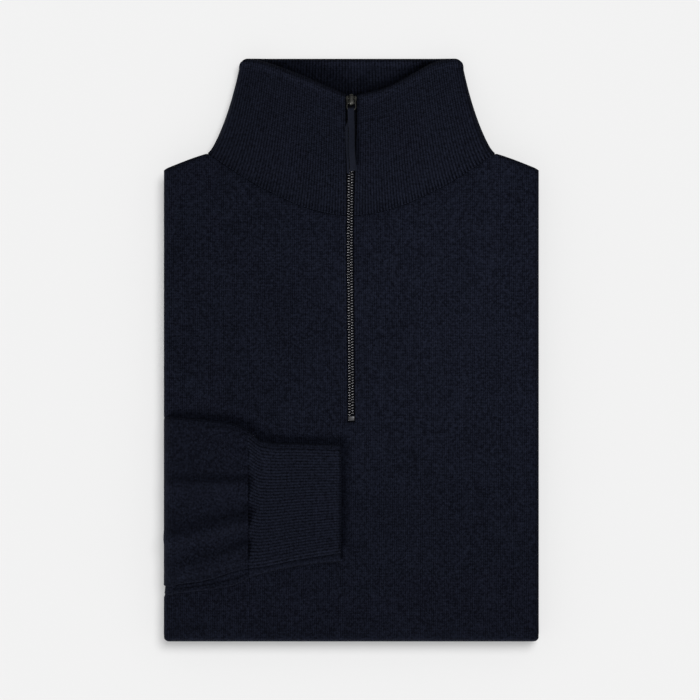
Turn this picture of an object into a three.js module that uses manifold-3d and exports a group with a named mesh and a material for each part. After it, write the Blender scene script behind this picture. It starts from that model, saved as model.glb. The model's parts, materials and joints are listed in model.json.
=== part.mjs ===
// Quarter zip sweater in fine knit, folded into a flat parcel, one sleeve laid over the front.
// Millimetres. Z is up from the surface it lies on, Y points to the collar, X to the right seen
// from above. The origin is under the middle of the parcel.
import * as THREE from "three";
import Module from "manifold-3d";

const manifold = await Module();
manifold.setup();

// Driving sizes
const WIDTH = 269; // folded width, side fold to side fold
const LENGTH = 419.8; // bottom fold to the collar's top edge
const THICK = 20; // the folded body, without the sleeve on top
const CLOTH = 1.4; // body and sleeve knit
const HEM_CLOTH = 1.8; // hem rib
const COLLAR_CLOTH = 2.5; // collar rib, doubled
const CUFF_CLOTH = 1.75; // cuff rib
const SEAM_GAP = 0.3; // between sewn pieces
const SIDE_ROUND = 4.5; // how far in the side folds round
const SIDE_DEPTH = 9.2; // height of one side fold
const SIDE_RETURN = 11; // how far in the folded side goes back
const FOLD_DEPTH = 7.4; // height of the side fold where it runs round the bottom fold
const SHOULDER_ROUND = 4; // how far the shoulder rolls over
const SHOULDER_DROP = 2.9;
const BACK_SHOULDER_RISE = 2.6; // how far the back's shoulder edge turns up to meet the front's
const SHOULDER_FROM = 100; // the shoulders roll from here outwards
const SHOULDER_FULL = 106;
const HEM_SEAM = 50; // on the underside
const HEM_END = 120;
const HEM_MIDDLE = 85; // a row of the hem rib between its ends
const BACK_LEVEL = 9.6; // underside of the back at the neck
const BACK_SHOWS = 30; // how far the back shows before the hem covers it
const COLLAR_ROUND = 4.5;
const RIB_HEIGHT = 0.35;
const FRONT_RIBS = 49; // on each half of the collar's front
const BACK_RIBS = 78;
const CUFF_RIBS = 38; // on the face that shows
const SLIT_HALF = 2.6; // half the gap between the front's edges at the zip
const SLIT_END = -52;
const SLIT_CUT = 110; // the slit is cut to past the neck seam
const TAPE_HALF = 13;
const TAPE_THICK = 0.8;
const TAPE_PAST = 5; // how far the tape goes on past the slit's end
const CHAIN_HALF = 2.05;
const CHAIN_RISE = 0.35; // the teeth stand this far above the cloth
const STOP_LENGTH = 3.4;
const SLIDER_LENGTH = 7.9;
const SLIDER_TOP = 183.2;
const SLIDER_HALF = 4;
const HINGE_Y = 179.9;
const HINGE_RISE = 2.5; // of the ring's bar above the cloth
const RING_LENGTH = 8.6;
const RING_HALF = 3.6;
const RING_BAR = 0.8;
const TAB_WIDTH = 5.2;
const TAB_THICK = 2;
const TAB_END = 126.7;
const SLEEVE_LIFT = 0.4; // between the sleeve and the front under it
const SLEEVE_ZONE = [-179, -45]; // where the front's left fold gives way to the sleeve
const SLEEVE_IN = -120.2; // where the sleeve goes in between the folded halves
const SLEEVE_HEIGHT = 3.3; // both layers
const CUFF_HEIGHT = 4;
const CUFF_SEAM = -73.4;
const CUFF_END = -8.8;

const HALF = WIDTH / 2;
const END = LENGTH / 2;
const FOLD_RADIUS = THICK / 2;
const FOLD_Y = -END + FOLD_RADIUS;
const SLEEVE_INSET = SLEEVE_HEIGHT + SLEEVE_LIFT; // the front's fold steps back by this
const SLEEVE_DEPTH = 8; // height of the side folds on each side of the sleeve

const NECK_CORNER = 102.6; // where the neck seam meets the shoulder
const COLLAR_BASE = 102.4; // half width of the flattened collar at its seam
// Top boundary of the front: neck seam out to the shoulder corner, then the shoulder line.
const NECK = [
  { x: 0, y: 96 },
  { x: 12, y: 96.8 },
  { x: 26, y: 99.9 },
  { x: 40, y: 104.4 },
  { x: 53, y: 110.5 },
  { x: 65, y: 116.3 },
  { x: 79, y: 124.6 },
  { x: 92, y: 133 },
  { x: NECK_CORNER, y: 140.6 },
  { x: 116, y: 136 },
  { x: HALF, y: 128.7 },
];
// Back neck seam, then the same shoulder line.
const BACK_NECK = [
  { x: 0, y: 128.4 },
  { x: 35, y: 129.2 },
  { x: 70, y: 132.6 },
  { x: 92, y: 137 },
  { x: NECK_CORNER, y: 140.6 },
  { x: 116, y: 136 },
  { x: HALF, y: 128.7 },
];
// The flattened collar from its seam (0) to its top edge (1): half width, level of the front's
// outer face, level of the back's underside, half of the zip's gap.
const COLLAR = [
  { up: 0, half: COLLAR_BASE, front: 20, back: 9.6, slit: 2.6 },
  { up: 0.2, half: 95.2, front: 18.8, back: 7.2, slit: 2.9 },
  { up: 0.58, half: 87, front: 15.4, back: 3.7, slit: 3.4 },
  { up: 1, half: 80.2, front: 11.2, back: 0.4, slit: 4.1 },
];
// Top edges of the collar by distance from the middle.
const COLLAR_FRONT_EDGE = [
  { x: 0, y: 182.9 },
  { x: 20, y: 189.5 },
  { x: 40, y: 196.9 },
  { x: 60, y: 204 },
  { x: 72, y: 208.1 },
  { x: 77, y: 208.3 },
  { x: 79.4, y: 206.6 },
  { x: 80.2, y: 204.5 },
];
const COLLAR_BACK_EDGE = [
  { x: 0, y: END },
  { x: 74.6, y: END },
  { x: 77.6, y: 209 },
  { x: 79.4, y: 207 },
  { x: 80.2, y: 204.5 },
];
// Flattened sleeve and cuff along their length: upper edge, lower edge of the upper layer, lower
// edge of the layer that shows under it.
const SLEEVE = [
  { x: -134.5, upper: -48.2, lip: -169.9, lower: -175.7 },
  { x: -121.7, upper: -49, lip: -167.8, lower: -174.2 },
  { x: -108.7, upper: -50, lip: -166, lower: -172.8 },
  { x: -97.9, upper: -51.1, lip: -163.4, lower: -171.4 },
  { x: -83.5, upper: -54, lip: -158.6, lower: -168.5 },
  { x: -73.4, upper: -61.5, lip: -156.6, lower: -163.4 },
  { x: -64.1, upper: -65.5, lip: -155.5, lower: -160.6 },
  { x: -36.7, upper: -67.3, lip: -150.1, lower: -154.8 },
  { x: -8.6, upper: -68.4, lip: -145.8, lower: -151.9 },
];
// Gathers where the sleeve is drawn into the cuff: place along the cuff seam, place where the ridge
// dies out, how far from the seam that is, height, half width.
const GATHERS = [
  { seam: -72, far: -62, reach: 46, height: 0.7, wide: 9 },
  { seam: -82, far: -84, reach: 34, height: 0.55, wide: 6 },
  { seam: -99, far: -98, reach: 52, height: 0.85, wide: 10 },
  { seam: -112, far: -112, reach: 38, height: 0.6, wide: 6 },
  { seam: -124, far: -138, reach: 58, height: 0.9, wide: 7 },
  { seam: -134, far: -152, reach: 50, height: 0.6, wide: 7 },
  { seam: -148, far: -162, reach: 40, height: 0.75, wide: 8 },
];
// Folded layers inside, one slab each: levels, half width, ends, how the collar end is cut.
const LAYERS = [
  { low: 2.2, high: 5.4, half: 128, foot: -201.4, head: 118, cut: "straight", edge: 0 },
  { low: 5.2, high: 8.6, half: 119, foot: -206.2, head: 116.4, cut: "straight", edge: 0 },
  { low: 8.4, high: 11.6, half: 118, foot: -207.2, head: 94, cut: "straight", edge: 0 },
  { low: 11.4, high: 14.8, half: 119, foot: -206.2, head: 136, cut: "neck", edge: 7 },
  { low: 14.6, high: 18, half: 124.6, foot: -201.4, head: 136, cut: "neck", edge: -8.5 },
];

const { lerp, clamp, smoothstep } = THREE.MathUtils;
const at = (x, y, z) => new THREE.Vector3(x, y, z);
const steps = (n) => Array.from({ length: n + 1 }, (_, i) => i / n);

// The value in one column of a table, straight between its rows.
function read(rows, key, column, value) {
  let i = 1;
  while (i < rows.length - 1 && rows[i][key] < value) i++;
  const [a, b] = [rows[i - 1], rows[i]];
  return lerp(a[column], b[column], clamp((value - a[key]) / (b[key] - a[key]), 0, 1));
}

// A closed wall between an outer and an inner grid of points; `around` joins its two sides.
function wall(outer, inner, around = false) {
  const rows = outer.length;
  const cols = outer[0].length;
  const out = (i, j) => i * cols + (j % cols);
  const inn = (i, j) => rows * cols + out(i, j);
  const faces = [];
  const quad = (a, b, c, d) => faces.push(a, b, c, a, c, d);
  const last = around ? cols : cols - 1;
  for (let j = 0; j < last; j++) {
    for (let i = 0; i < rows - 1; i++) {
      quad(out(i, j), out(i, j + 1), out(i + 1, j + 1), out(i + 1, j));
      quad(inn(i, j), inn(i + 1, j), inn(i + 1, j + 1), inn(i, j + 1));
    }
    quad(out(0, j), inn(0, j), inn(0, j + 1), out(0, j + 1));
    quad(out(rows - 1, j), out(rows - 1, j + 1), inn(rows - 1, j + 1), inn(rows - 1, j));
  }
  for (let i = 0; !around && i < rows - 1; i++) {
    quad(out(i, 0), out(i + 1, 0), inn(i + 1, 0), inn(i, 0));
    quad(out(i, last), inn(i, last), inn(i + 1, last), out(i + 1, last));
  }
  const points = [...outer.flat(), ...inner.flat()];
  let volume = 0;
  for (let f = 0; f < faces.length; f += 3) {
    const [a, b, c] = [points[faces[f]], points[faces[f + 1]], points[faces[f + 2]]];
    volume += a.dot(b.clone().cross(c));
  }
  if (volume < 0) faces.reverse();
  const made = new THREE.BufferGeometry();
  made.setAttribute(
    "position",
    new THREE.Float32BufferAttribute(points.flatMap((p) => p.toArray()), 3),
  );
  made.setIndex(faces);
  return made;
}

function toSolid(geometry) {
  const flat = geometry.index ? geometry : indexed(geometry);
  return new manifold.Manifold(
    new manifold.Mesh({
      numProp: 3,
      vertProperties: new Float32Array(flat.attributes.position.array),
      triVerts: new Uint32Array(flat.index.array),
    }),
  );
}

// Shares the vertices of a geometry that repeats them for each triangle.
function indexed(geometry) {
  const places = new Map();
  const points = [];
  const index = [];
  const { array } = geometry.attributes.position;
  for (let i = 0; i < array.length; i += 3) {
    const point = [array[i], array[i + 1], array[i + 2]];
    const key = point.map((v) => Math.round(v * 1000)).join();
    if (!places.has(key)) {
      places.set(key, points.length / 3);
      points.push(...point);
    }
    index.push(places.get(key));
  }
  const kept = [];
  for (let i = 0; i < index.length; i += 3) {
    const [a, b, c] = index.slice(i, i + 3);
    if (a !== b && b !== c && c !== a) kept.push(a, b, c);
  }
  const made = new THREE.BufferGeometry();
  made.setAttribute("position", new THREE.Float32BufferAttribute(points, 3));
  made.setIndex(kept);
  return made;
}

function fromSolid(solid) {
  const mesh = solid.getMesh();
  const made = new THREE.BufferGeometry();
  made.setAttribute("position", new THREE.Float32BufferAttribute(mesh.vertProperties, 3));
  made.setIndex([...mesh.triVerts]);
  return made;
}

const join = (...parts) => fromSolid(parts.map(toSolid).reduce((a, b) => a.add(b)));
const cut = (part, ...tools) =>
  fromSolid(tools.map(toSolid).reduce((a, b) => a.subtract(b), toSolid(part)));

// A plate of the given outline between two levels, its edges rounded by `soft`.
function plate(outline, low, high, soft, curve = 3) {
  const made = new THREE.ExtrudeGeometry(outline, {
    depth: high - low - 2 * soft,
    bevelEnabled: soft > 0,
    bevelThickness: soft,
    bevelSize: soft,
    bevelOffset: -soft,
    bevelSegments: 1,
    curveSegments: curve,
  });
  return made.translate(0, 0, low + soft);
}

function roundedRectangle(half, low, high, corner) {
  const shape = new THREE.Shape();
  shape.moveTo(-half + corner, low);
  shape.lineTo(half - corner, low);
  shape.absarc(half - corner, low + corner, corner, -Math.PI / 2, 0, false);
  shape.absarc(half - corner, high - corner, corner, 0, Math.PI / 2, false);
  shape.absarc(-half + corner, high - corner, corner, Math.PI / 2, Math.PI, false);
  shape.absarc(-half + corner, low + corner, corner, Math.PI, 1.5 * Math.PI, false);
  return shape;
}

// Soft unevenness of the laid front, none at the zip and the side folds.
function ease(x, y) {
  const off = smoothstep(Math.abs(x), 6, 34) * (1 - smoothstep(Math.abs(x), 104, 124));
  const ends = smoothstep(y, -196, -170) * (1 - smoothstep(y, 60, 92));
  const wide = 0.3 * Math.sin(x / 27 + 0.8) * Math.cos(y / 41);
  return off * ends * (wide - 0.2 * Math.sin(y / 23 + x / 60));
}

const nearShoulder = (x) => smoothstep(Math.abs(x), SHOULDER_FROM, SHOULDER_FULL);

// 1 where the sleeve goes round the left fold.
const underSleeve = (side, y) => (side < 0 && y > SLEEVE_ZONE[0] && y < SLEEVE_ZONE[1] ? 1 : 0);

// Columns of the wrapped body from the left return to the right one: flat ones by x, turned ones
// by the angle round the side fold.
function bodyColumns() {
  const right = [12, 26, 40, 53, 65, 79, 92, NECK_CORNER, SHOULDER_FULL, 116];
  const turned = steps(6).map((s) => ({ side: 1, turn: s * Math.PI }));
  const half = [...right.map((x) => ({ x })), ...turned, { side: 1, turn: Math.PI, back: true }];
  const mirror = (c) => (c.side ? { ...c, side: -1 } : { x: -c.x });
  return [...half.map(mirror).reverse(), { x: 0 }, ...half];
}

// A point of the wrapped body: `row` says where along its length, `skin` how far under its face.
function bodyPoint(row, column, skin) {
  const side = column.side ?? 0;
  const nominal = side ? side * HALF : column.x;
  const top = read(NECK, "x", "y", Math.abs(nominal)) - SEAM_GAP / 2;
  const y = row.inset === undefined ? row.y : top - row.inset;
  const sleeve = row.fold === undefined ? underSleeve(side, y) : 0;
  let deep = row.fold === undefined ? lerp(SIDE_DEPTH, SLEEVE_DEPTH, sleeve) : FOLD_DEPTH;
  let drop = 0;
  if (row.inset < SHOULDER_ROUND) {
    const share = 1 - row.inset / SHOULDER_ROUND;
    drop = SHOULDER_DROP * (1 - Math.sqrt(1 - share * share)) * nearShoulder(nominal);
    deep -= 2 * drop;
  }
  let x = column.x;
  let under = -drop - skin;
  if (side) {
    const edge = HALF - SLEEVE_INSET * sleeve;
    const round = Math.min(SIDE_ROUND, deep);
    x = column.back
      ? side * (edge - SIDE_RETURN)
      : side * (edge - round + (round - skin) * Math.sin(column.turn));
    under = -drop - deep / 2 + (deep / 2 - skin) * Math.cos(column.turn);
  }
  if (row.fold !== undefined) {
    const radius = FOLD_RADIUS + under;
    const angle = row.fold * Math.PI;
    return at(x, FOLD_Y - radius * Math.sin(angle), FOLD_RADIUS + radius * Math.cos(angle));
  }
  if (row.below) return at(x, y, -under);
  return at(x, y, THICK + under + (side ? 0 : ease(x, y)));
}

function wrapped(rows, thickness) {
  const columns = bodyColumns();
  const grid = (skin) => rows.map((row) => columns.map((column) => bodyPoint(row, column, skin)));
  return wall(grid(0), grid(thickness));
}

function frontBody() {
  const along = [60, 0, -44.5, -47.6, -110, -176.3, -179.4];
  const rows = [
    ...[0, 0.8, SHOULDER_ROUND, 12].map((inset) => ({ inset })),
    ...along.map((y) => ({ y })),
    ...steps(6).map((fold) => ({ fold })),
    ...[...along].reverse().slice(0, 5).map((y) => ({ y, below: true })),
    { y: HEM_SEAM, below: true },
  ];
  const slit = roundedRectangle(SLIT_HALF, SLIT_END, SLIT_CUT, 1);
  return cut(wrapped(rows, CLOTH), plate(slit, THICK - 4, THICK + 3, 0));
}

function hemRib() {
  const along = [HEM_SEAM + SEAM_GAP, HEM_MIDDLE, HEM_END - 1, HEM_END];
  return wrapped(along.map((y) => ({ y, below: true })), HEM_CLOTH);
}

// The back at the neck and shoulders, under the front, as far as it shows.
function backBody() {
  const reach = HALF - SIDE_RETURN - 1;
  const right = [35, 70, 92, NECK_CORNER, SHOULDER_FULL, 116, reach];
  const columns = [...right.map((x) => -x).reverse(), 0, ...right];
  const rows = [0, 0.5, 1.8, SHOULDER_ROUND, 14, BACK_SHOWS];
  const grid = (skin) =>
    rows.map((inset) =>
      columns.map((x) => {
        const share = clamp(1 - inset / SHOULDER_ROUND, 0, 1);
        const roll = BACK_SHOULDER_RISE * (1 - Math.sqrt(1 - share * share)) * nearShoulder(x);
        const y = read(BACK_NECK, "x", "y", Math.abs(x)) - SEAM_GAP / 2 - inset;
        return at(x, y, BACK_LEVEL + roll + skin);
      }),
    );
  return wall(grid(0), grid(CLOTH));
}

// The hidden layers end this far inside the shoulder line, and no further up than NECK_LIMIT.
const SHOULDER_INSET = 5.5;
const NECK_LIMIT = 131;
const LAYER_CORNER = 3;
const LAYER_SOFT = 1.1; // their edges are rounded by this
const NOTCH = { x: 106, y: 133.5 }; // where their neck edge meets their shoulder edge

function foldedLayers() {
  const slabs = LAYERS.map((layer) => {
    const { half, foot, head, edge } = layer;
    const shape = new THREE.Shape();
    const corner = LAYER_CORNER;
    shape.moveTo(-half + corner, foot);
    shape.lineTo(half - corner, foot);
    shape.absarc(half - corner, foot + corner, corner, -Math.PI / 2, 0, false);
    if (layer.cut === "straight") {
      shape.absarc(half - corner, head - corner, corner, 0, Math.PI / 2, false);
      shape.absarc(-half + corner, head - corner, corner, Math.PI / 2, Math.PI, false);
    } else {
      const line = [...NECK.filter((p) => p.x > NOTCH.x && p.x < half).map((p) => p.x), half];
      const shoulder = line.map((x) => ({ x, y: read(NECK, "x", "y", x) - SHOULDER_INSET }));
      const neck = NECK.filter((p) => p.x > 0 && p.x < COLLAR_BASE - 2 * COLLAR_ROUND).map((p) => ({
        x: p.x,
        y: Math.min(p.y + edge, NECK_LIMIT),
      }));
      for (const p of [...shoulder].reverse()) shape.lineTo(p.x, p.y);
      shape.lineTo(NOTCH.x, NOTCH.y);
      for (const p of [...neck].reverse()) shape.lineTo(p.x, p.y);
      for (const p of neck) shape.lineTo(-p.x, p.y);
      shape.lineTo(-NOTCH.x, NOTCH.y);
      for (const p of shoulder) shape.lineTo(-p.x, p.y);
    }
    shape.absarc(-half + corner, foot + corner, corner, Math.PI, 1.5 * Math.PI, false);
    return plate(shape, layer.low, layer.high, LAYER_SOFT);
  });
  // A channel that clears the zip's tape by 0.4 mm.
  const channel = roundedRectangle(TAPE_HALF + 0.4, SLIT_END - TAPE_PAST - 0.4, SLIT_CUT, 0.5);
  return cut(join(...slabs), plate(channel, THICK - CLOTH - TAPE_THICK - 0.7, THICK, 0));
}

// The collar lies as a flattened tube, open at the zip. A place round it runs from the zip's right
// edge over the right fold, the back and the left fold to the zip's left edge.
function collarStops() {
  const front = steps(2 * FRONT_RIBS).map((along) => ({ along, back: false }));
  const back = steps(2 * BACK_RIBS).slice(1, -1).map((along) => ({ along, back: true }));
  return [
    ...front.map((s) => ({ ...s, side: 1 })),
    ...back.map((s) => (s.along <= 0.5 ? { ...s, side: 1 } : { ...s, side: -1 })),
    ...front.map((s) => ({ ...s, side: -1 })).reverse(),
  ].map((s, i) => ({ ...s, crest: i % 2 }));
}

// Place and outward direction at one stop and one row of the collar, before its ribs.
function collarBase(stop, row) {
  const flat = (stop.back ? row.half : row.half - row.slit) - COLLAR_ROUND;
  const turned = (COLLAR_ROUND * Math.PI) / 2;
  const length = flat + turned;
  const gone = stop.back
    ? (1 - 2 * Math.min(stop.along, 1 - stop.along)) * length
    : stop.along * length;
  const angle = Math.max(0, gone - flat) / COLLAR_ROUND;
  const start = stop.back ? 0 : row.slit;
  const x = gone < flat ? start + gone : row.half - COLLAR_ROUND + COLLAR_ROUND * Math.sin(angle);
  const middle = (row.front + row.back) / 2;
  const level = ((row.front - row.back) / 2) * Math.cos(angle);
  const up = stop.back ? -1 : 1;
  return {
    place: at(stop.side * x, 0, middle + up * level),
    out: at(stop.side * Math.sin(angle), 0, up * Math.cos(angle)),
    x,
  };
}

function collar() {
  const stops = collarStops();
  const seam = (s) => {
    const { x } = collarBase(s, COLLAR[0]);
    return read(s.back ? BACK_NECK : NECK, "x", "y", Math.min(x, NECK_CORNER)) + SEAM_GAP;
  };
  const edge = (s) => {
    const { x } = collarBase(s, COLLAR[COLLAR.length - 1]);
    return read(s.back ? COLLAR_BACK_EDGE : COLLAR_FRONT_EDGE, "x", "y", x);
  };
  const grid = (offset) =>
    COLLAR.map((row) =>
      stops.map((s) => {
        const { place, out } = collarBase(s, row);
        place.y = lerp(seam(s), edge(s), row.up);
        return place.addScaledVector(out, offset(s));
      }),
    );
  const outer = grid((s) => (s.back ? 0 : s.crest * RIB_HEIGHT));
  const inner = grid((s) => -COLLAR_CLOTH - (s.back ? s.crest * RIB_HEIGHT : 0));
  return wall(outer, inner);
}

// Stops round a flattened tube: shares of its width on the upper layer, the stepped lower edge,
// the underside and the rounded upper edge. `y` is from an edge, `lift` from its underside.
function tubeStops(count, top, skin) {
  const roof = top - skin;
  return [
    ...steps(count).map((share) => ({ kind: "top", share, lift: top, inLift: roof })),
    { kind: "lip", off: 0.25, lift: top - 0.4, inOff: 2.4, inLift: roof - 0.08 },
    { kind: "lip", off: 0, lift: top - 1, inOff: 2.3, inLift: roof - 0.16 },
    { kind: "lip", off: 0.3, lift: skin + 0.3, inOff: 2.2, inLift: roof - 0.25 },
    { kind: "low", off: 1.2, lift: skin + 0.2, inOff: 2.3, inLift: roof - 0.35 },
    { kind: "low", off: 0.15, lift: skin - 0.3, inOff: 2.4, inLift: roof - 0.42 },
    { kind: "low", off: 0, lift: 0.7, inOff: 2.5, inLift: roof - 0.47 },
    ...steps(3).map((share) => ({ kind: "under", share, lift: 0, inLift: skin })),
    { kind: "high", off: 0.5, lift: 0.5, inOff: 2.1, inLift: skin + 0.1 },
    { kind: "high", off: 0, lift: top / 2, inOff: 2, inLift: top / 2 },
    { kind: "high", off: 0.5, lift: top - 0.5, inOff: 2.1, inLift: roof - 0.1 },
  ];
}

// Across (y) and lift of one stop in one section of the tube.
function tubePoint(stop, size, inside) {
  const { upper, lip, lower } = size;
  const lift = inside ? stop.inLift : stop.lift;
  if (stop.kind === "top")
    return inside
      ? [lerp(upper - 2.4, lip + 2.5, stop.share), lift]
      : [lerp(upper - 1.6, lip + 0.9, stop.share), lift];
  if (stop.kind === "under")
    return inside
      ? [lerp(lip + 2.6, upper - 2.4, stop.share), lift]
      : [lerp(lower + 1.1, upper - 1.6, stop.share), lift];
  const off = inside ? stop.inOff : stop.off;
  if (stop.kind === "high") return [upper - off, lift];
  return [(inside || stop.kind === "lip" ? lip : lower) + off, lift];
}

const tubeSize = (x) => ({
  upper: read(SLEEVE, "x", "upper", x),
  lip: read(SLEEVE, "x", "lip", x),
  lower: read(SLEEVE, "x", "lower", x),
});

function gather(x, y) {
  const away = Math.max(0, CUFF_SEAM - x);
  let rise = 0;
  for (const g of GATHERS) {
    const share = away / g.reach;
    if (share >= 1) continue;
    const off = (y - lerp(g.seam, g.far, share)) / (g.wide * (0.7 + 0.6 * share));
    rise += g.height * (1 - share) ** 1.2 * Math.exp(-2 * off * off);
  }
  return rise;
}

// The right sleeve comes out between the folded halves, goes round the left fold and lies on top.
function rightSleeve() {
  const stops = tubeStops(17, SLEEVE_HEIGHT, CLOTH);
  const round = { x: -HALF + SLEEVE_INSET + SIDE_ROUND, z: THICK - SLEEVE_DEPTH / 2 };
  const across = SIDE_ROUND + SLEEVE_LIFT;
  const high = SLEEVE_DEPTH / 2 + SLEEVE_LIFT;
  const sections = [
    ...[-73.7, -77, -82, -89, -97, -106, -116].map((x) => ({ x })),
    ...steps(6).map((s) => ({ turn: s * Math.PI })),
    { inside: SLEEVE_IN },
  ];
  const grid = (inside) =>
    sections.map((section) => {
      const size = tubeSize(section.x ?? -HALF);
      return stops.map((stop) => {
        const [y, lift] = tubePoint(stop, size, inside);
        if (section.x !== undefined) {
          const rise = stop.kind === "top" && !inside ? gather(section.x, y) : 0;
          return at(section.x, y, THICK + SLEEVE_LIFT + ease(section.x, y) + lift + rise);
        }
        if (section.inside) return at(section.inside, y, round.z - high - lift);
        return at(
          round.x - (across + lift) * Math.sin(section.turn),
          y,
          round.z + (high + lift) * Math.cos(section.turn),
        );
      });
    });
  return wall(grid(false), grid(true), true);
}

function rightCuff() {
  const stops = tubeStops(2 * CUFF_RIBS, CUFF_HEIGHT, CUFF_CLOTH);
  const sections = [
    { x: CUFF_SEAM, puff: 0 },
    { x: -62, puff: 0.25 },
    { x: -34, puff: 0.1 },
    { x: CUFF_END, puff: 0.35 },
  ];
  const grid = (inside) =>
    sections.map(({ x, puff }) =>
      stops.map((stop, i) => {
        const [y, lift] = tubePoint(stop, tubeSize(x), inside);
        const rise = stop.kind === "top" && !inside ? puff + (i % 2) * RIB_HEIGHT : 0;
        return at(x, y, THICK + SLEEVE_LIFT + ease(x, y) + lift + rise);
      }),
    );
  return wall(grid(false), grid(true), true);
}

// Level of the cloth's face along the zip.
const NECK_Y = NECK[0].y;
const EDGE_Y = COLLAR_FRONT_EDGE[0].y;
const clothLevel = (y) =>
  y < NECK_Y ? THICK : read(COLLAR, "up", "front", (y - NECK_Y) / (EDGE_Y - NECK_Y));
const NECK_STEPS = [86, 89, 92]; // where the tape goes down under the collar's thicker rib
const collarBreaks = COLLAR.map((row) => lerp(NECK_Y, EDGE_Y, row.up)).slice(0, 3);

// A strip along the zip between two levels, its side edges lower than its middle by `fall`.
function strip(ys, xs, high, low, fall = 0) {
  const widest = Math.max(...xs);
  const grid = (level, drop) =>
    ys.map((y) => xs.map((x) => at(x, y, level(y) - (Math.abs(x) === widest ? drop : 0))));
  return wall(grid(high, fall), grid(low, 0));
}

const tapeTop = (y) => clothLevel(y) - lerp(CLOTH + 0.35, COLLAR_CLOTH + 0.35, smoothstep(y, 88, 95));

function zipTape() {
  const ys = [SLIT_END - TAPE_PAST, ...NECK_STEPS, ...collarBreaks, EDGE_Y - 1.5];
  return strip(ys, [-TAPE_HALF, -3, 3, TAPE_HALF], tapeTop, (y) => tapeTop(y) - TAPE_THICK);
}

const STOP_TOP = SLIT_END + 0.9 + STOP_LENGTH;
const CHAIN_TOP = SLIDER_TOP - SLIDER_LENGTH - SEAM_GAP;

function zipChain() {
  const ys = [STOP_TOP + SEAM_GAP, ...NECK_STEPS, ...collarBreaks, CHAIN_TOP];
  const xs = [-CHAIN_HALF, -1.3, 1.3, CHAIN_HALF];
  return strip(ys, xs, (y) => clothLevel(y) + CHAIN_RISE, (y) => tapeTop(y) + 0.3, 0.6);
}

function zipStop() {
  const shape = roundedRectangle(2.3, SLIT_END + 0.9, STOP_TOP, 0.6);
  return plate(shape, THICK - CLOTH - 0.05, THICK + 0.9, 0.4);
}

// The slider and ring are drawn level, the hinge above the origin, then laid on the collar's slope.
const SLOPE = Math.atan2(clothLevel(182) - clothLevel(160), 22);
const layOnCollar = (part) => part.rotateX(SLOPE).translate(0, HINGE_Y, clothLevel(HINGE_Y));

// A profile of along (Y) and level (Z), made `width` wide about the middle.
function acrossPlate(outline, width, soft, curve = 3) {
  const made = plate(outline, -width / 2, width / 2, soft, curve);
  return made.applyMatrix4(new THREE.Matrix4().makeBasis(at(0, 1, 0), at(0, 0, 1), at(1, 0, 0)));
}

function zipSlider() {
  const head = SLIDER_TOP - HINGE_Y;
  const foot = head - SLIDER_LENGTH;
  const top = new THREE.Shape();
  top.moveTo(-SLIDER_HALF + 1.4, foot);
  top.lineTo(SLIDER_HALF - 1.4, foot);
  top.quadraticCurveTo(SLIDER_HALF - 0.7, foot, SLIDER_HALF - 0.6, foot + 1);
  top.lineTo(SLIDER_HALF, head - 2);
  top.quadraticCurveTo(SLIDER_HALF, head, SLIDER_HALF - 1.8, head);
  top.lineTo(-SLIDER_HALF + 1.8, head);
  top.quadraticCurveTo(-SLIDER_HALF, head, -SLIDER_HALF, head - 2);
  top.lineTo(-SLIDER_HALF + 0.6, foot + 1);
  top.quadraticCurveTo(-SLIDER_HALF + 0.7, foot, -SLIDER_HALF + 1.4, foot);
  const stem = roundedRectangle(1.9, foot + 0.3, head - 0.3, 0.6);
  const bridge = new THREE.Shape();
  bridge.moveTo(-2.9, 1.2);
  bridge.lineTo(-1.2, 1.2);
  bridge.lineTo(-1.2, 3);
  bridge.quadraticCurveTo(-1.1, 3.4, -0.6, 3.4);
  bridge.lineTo(0.8, 3.4);
  bridge.quadraticCurveTo(1.2, 3.4, 1.2, 3);
  bridge.lineTo(1.2, 1.2);
  bridge.lineTo(2.6, 1.2);
  bridge.lineTo(2.3, 3.6);
  bridge.quadraticCurveTo(1.9, 4.4, 1, 4.4);
  bridge.lineTo(-0.8, 4.4);
  bridge.quadraticCurveTo(-2, 4.3, -2.4, 3.2);
  return layOnCollar(
    join(plate(top, 0.7, 1.7, 0.25), plate(stem, -1.6, 1.1, 0.2), acrossPlate(bridge, 2.3, 0.25)),
  );
}

function pullRing() {
  const head = RING_BAR / 2;
  const shape = roundedRectangle(RING_HALF, head - RING_LENGTH, head, 1.6);
  shape.holes.push(
    roundedRectangle(RING_HALF - RING_BAR, head - RING_LENGTH + RING_BAR, head - RING_BAR, 0.8),
  );
  return layOnCollar(plate(shape, HINGE_RISE - RING_BAR / 2, HINGE_RISE + RING_BAR / 2, 0.2));
}

// The cloth tab is a doubled strip looped through the ring.
function pullTab() {
  const held = at(0, RING_BAR - RING_LENGTH, HINGE_RISE).applyAxisAngle(at(1, 0, 0), SLOPE);
  const bar = HINGE_Y + held.y;
  const middle = clothLevel(HINGE_Y) + held.z;
  const eye = 1.6;
  const under = (y) => clothLevel(y) + CHAIN_RISE + 0.3;
  const ys = [bar - 3, 160, collarBreaks[2], 140, TAB_END + 1];
  const shape = new THREE.Shape();
  shape.absarc(bar, middle, eye, -Math.PI / 2, Math.PI / 2, false);
  for (const y of ys) shape.lineTo(y, under(y) + TAB_THICK);
  shape.lineTo(TAB_END, under(TAB_END) + TAB_THICK - 0.5);
  shape.lineTo(TAB_END, under(TAB_END) + 0.4);
  for (const y of [...ys].reverse()) shape.lineTo(y, under(y));
  const hole = new THREE.Path();
  hole.absarc(bar, middle, 0.85, 0, 2 * Math.PI, true);
  shape.holes.push(hole);
  return acrossPlate(shape, TAB_WIDTH, 0.3, 6);
}

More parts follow.
